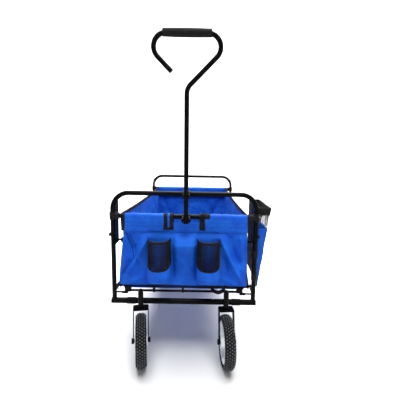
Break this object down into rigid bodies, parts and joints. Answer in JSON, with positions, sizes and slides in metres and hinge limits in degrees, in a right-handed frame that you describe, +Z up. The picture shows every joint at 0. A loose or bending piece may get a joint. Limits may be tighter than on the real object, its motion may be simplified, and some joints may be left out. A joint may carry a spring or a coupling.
{
  "type": "folding utility wagon",
  "caption": "Folding beach cart: steel hoop frame with side scissors, blue fabric tub, cup holders, side pocket, pull handle and swivel front wheels.",
  "frame": {"origin": "on the floor, under the middle of the cart as it stands open", "axes": "+Z up; -Y points forward, out of the end with the handle; +X is to the right for a viewer who faces the front of the cart"},
  "size_m": [0.619, 1.1271, 1.0751],
  "materials": {
    "black_metal": "gloss black powder coat",
    "bright_steel": "zinc-plated steel",
    "black_plastic": "moulded black plastic",
    "grip_foam": "soft black foam",
    "tyre_rubber": "dark grey knobbly tread",
    "rim_plastic": "pale moulded plastic",
    "blue_fabric": "royal blue woven polyester",
    "black_webbing": "black woven webbing and binding",
    "black_mesh": "black open mesh",
    "base_board": "fabric-covered stiff board"
  },
  "bodies": {
    "front_frame": {"front_hoop": "black_metal", "front_base_bar": "black_metal", "front_tie_bar": "black_metal", "front_rail": "black_metal", "front_slot_plates": "black_metal", "front_pivot_lugs": "black_metal", "front_leg_bolts": "black_plastic", "front_rail_clamps": "black_plastic", "caster_sockets": "black_metal", "handle_bracket": "black_metal", "handle_pivot_bolt": "black_metal", "handle_clip": "black_plastic", "front_wall": "blue_fabric", "cup_holder_left": "black_mesh", "cup_holder_right": "black_mesh", "webbing_loops": "black_webbing", "side_pocket": "blue_fabric", "pocket_straps": "black_webbing", "side_wall_left": "blue_fabric", "side_wall_right": "blue_fabric", "floor_fabric": "blue_fabric", "floor_board": "base_board"},
    "rear_frame": {"rear_hoop": "black_metal", "rear_base_bar": "black_metal", "rear_axle_tube": "black_metal", "rear_axle": "bright_steel", "rear_rail": "black_metal", "rear_slot_plates": "black_metal", "rear_pivot_lugs": "black_metal", "rear_leg_bolts": "black_plastic", "rear_rail_clamps": "black_plastic", "rear_axle_nuts": "bright_steel", "rear_wall": "blue_fabric"},
    "handle": {"handle_pole": "black_metal", "handle_grip": "grip_foam", "handle_end_plug": "black_plastic"},
    "rising_bars_1": {"rising_bars_1": "black_metal"},
    "falling_bars_1": {"falling_bars_1": "black_metal", "cross_tube_1": "black_metal"},
    "falling_bars_2": {"falling_bars_2": "black_metal", "cross_tube_2": "black_metal"},
    "rising_bars_2": {"rising_bars_2": "black_metal"},
    "rising_bars_3": {"rising_bars_3": "black_metal"},
    "falling_bars_3": {"falling_bars_3": "black_metal"},
    "caster_left": {"caster_fork_left": "black_metal", "caster_kingpin_left": "black_metal", "caster_axle_left": "black_metal"},
    "front_wheel_left": {"front_tyre_left": "tyre_rubber", "front_rim_left": "rim_plastic"},
    "caster_right": {"caster_fork_right": "black_metal", "caster_kingpin_right": "black_metal", "caster_axle_right": "black_metal"},
    "front_wheel_right": {"front_tyre_right": "tyre_rubber", "front_rim_right": "rim_plastic"},
    "rear_wheel_left": {"rear_tyre_left": "tyre_rubber", "rear_rim_left": "rim_plastic"},
    "rear_wheel_right": {"rear_tyre_right": "tyre_rubber", "rear_rim_right": "rim_plastic"}
  },
  "joints": [
    {"name": "fold", "type": "hinge", "parent": "front_frame", "child": "rising_bars_1", "pos_m": [0, -0.3905, 0.25], "axis": [1, 0, 0], "range_deg": [0, 43], "deforming": ["side_wall_left", "side_wall_right", "floor_fabric", "floor_board"]},
    {"name": "crossing_1", "type": "hinge", "parent": "rising_bars_1", "child": "falling_bars_1", "pos_m": [0, -0.25183, 0.333], "axis": [1, 0, 0], "range_deg": [-86, 0]},
    {"name": "upper_pivot_1", "type": "hinge", "parent": "rising_bars_1", "child": "falling_bars_2", "pos_m": [0, -0.11317, 0.416], "axis": [1, 0, 0], "range_deg": [-86, 0]},
    {"name": "crossing_2", "type": "hinge", "parent": "falling_bars_2", "child": "rising_bars_2", "pos_m": [0, 0.0255, 0.333], "axis": [1, 0, 0], "range_deg": [0, 86]},
    {"name": "lower_pivot_2", "type": "hinge", "parent": "falling_bars_2", "child": "rising_bars_3", "pos_m": [0, 0.16417, 0.25], "axis": [1, 0, 0], "range_deg": [0, 86]},
    {"name": "crossing_3", "type": "hinge", "parent": "rising_bars_3", "child": "falling_bars_3", "pos_m": [0, 0.30283, 0.333], "axis": [1, 0, 0], "range_deg": [-86, 0]},
    {"name": "rear_lower_pivot", "type": "hinge", "parent": "falling_bars_3", "child": "rear_frame", "pos_m": [0, 0.4415, 0.25], "axis": [1, 0, 0], "range_deg": [0, 43]},
    {"name": "handle_pivot", "type": "hinge", "parent": "front_frame", "child": "handle", "pos_m": [0.006, -0.4525, 0.503], "axis": [1, 0, 0], "range_deg": [0, 135]},
    {"name": "caster_left_swivel", "type": "hinge", "parent": "front_frame", "child": "caster_left", "pos_m": [-0.147, -0.4435, 0.192], "axis": [0, 0, 1], "continuous": true},
    {"name": "front_wheel_left_spin", "type": "hinge", "parent": "caster_left", "child": "front_wheel_left", "pos_m": [-0.14089, -0.47491, 0.088], "axis": [0.9816, 0.1908, 0], "continuous": true},
    {"name": "caster_right_swivel", "type": "hinge", "parent": "front_frame", "child": "caster_right", "pos_m": [0.147, -0.4435, 0.192], "axis": [0, 0, 1], "continuous": true},
    {"name": "front_wheel_right_spin", "type": "hinge", "parent": "caster_right", "child": "front_wheel_right", "pos_m": [0.14979, -0.47538, 0.088], "axis": [0.9962, 0.0872, 0], "continuous": true},
    {"name": "rear_wheel_left_spin", "type": "hinge", "parent": "rear_frame", "child": "rear_wheel_left", "pos_m": [-0.28, 0.4755, 0.088], "axis": [1, 0, 0], "continuous": true},
    {"name": "rear_wheel_right_spin", "type": "hinge", "parent": "rear_frame", "child": "rear_wheel_right", "pos_m": [0.28, 0.4755, 0.088], "axis": [1, 0, 0], "continuous": true}
  ],
  "couplings": [
    {"joint": "crossing_1", "follows": "fold", "ratio": -2},
    {"joint": "upper_pivot_1", "follows": "fold", "ratio": -2},
    {"joint": "crossing_2", "follows": "fold", "ratio": 2},
    {"joint": "lower_pivot_2", "follows": "fold", "ratio": 2},
    {"joint": "crossing_3", "follows": "fold", "ratio": -2},
    {"joint": "rear_lower_pivot", "follows": "fold", "ratio": 1}
  ]
}
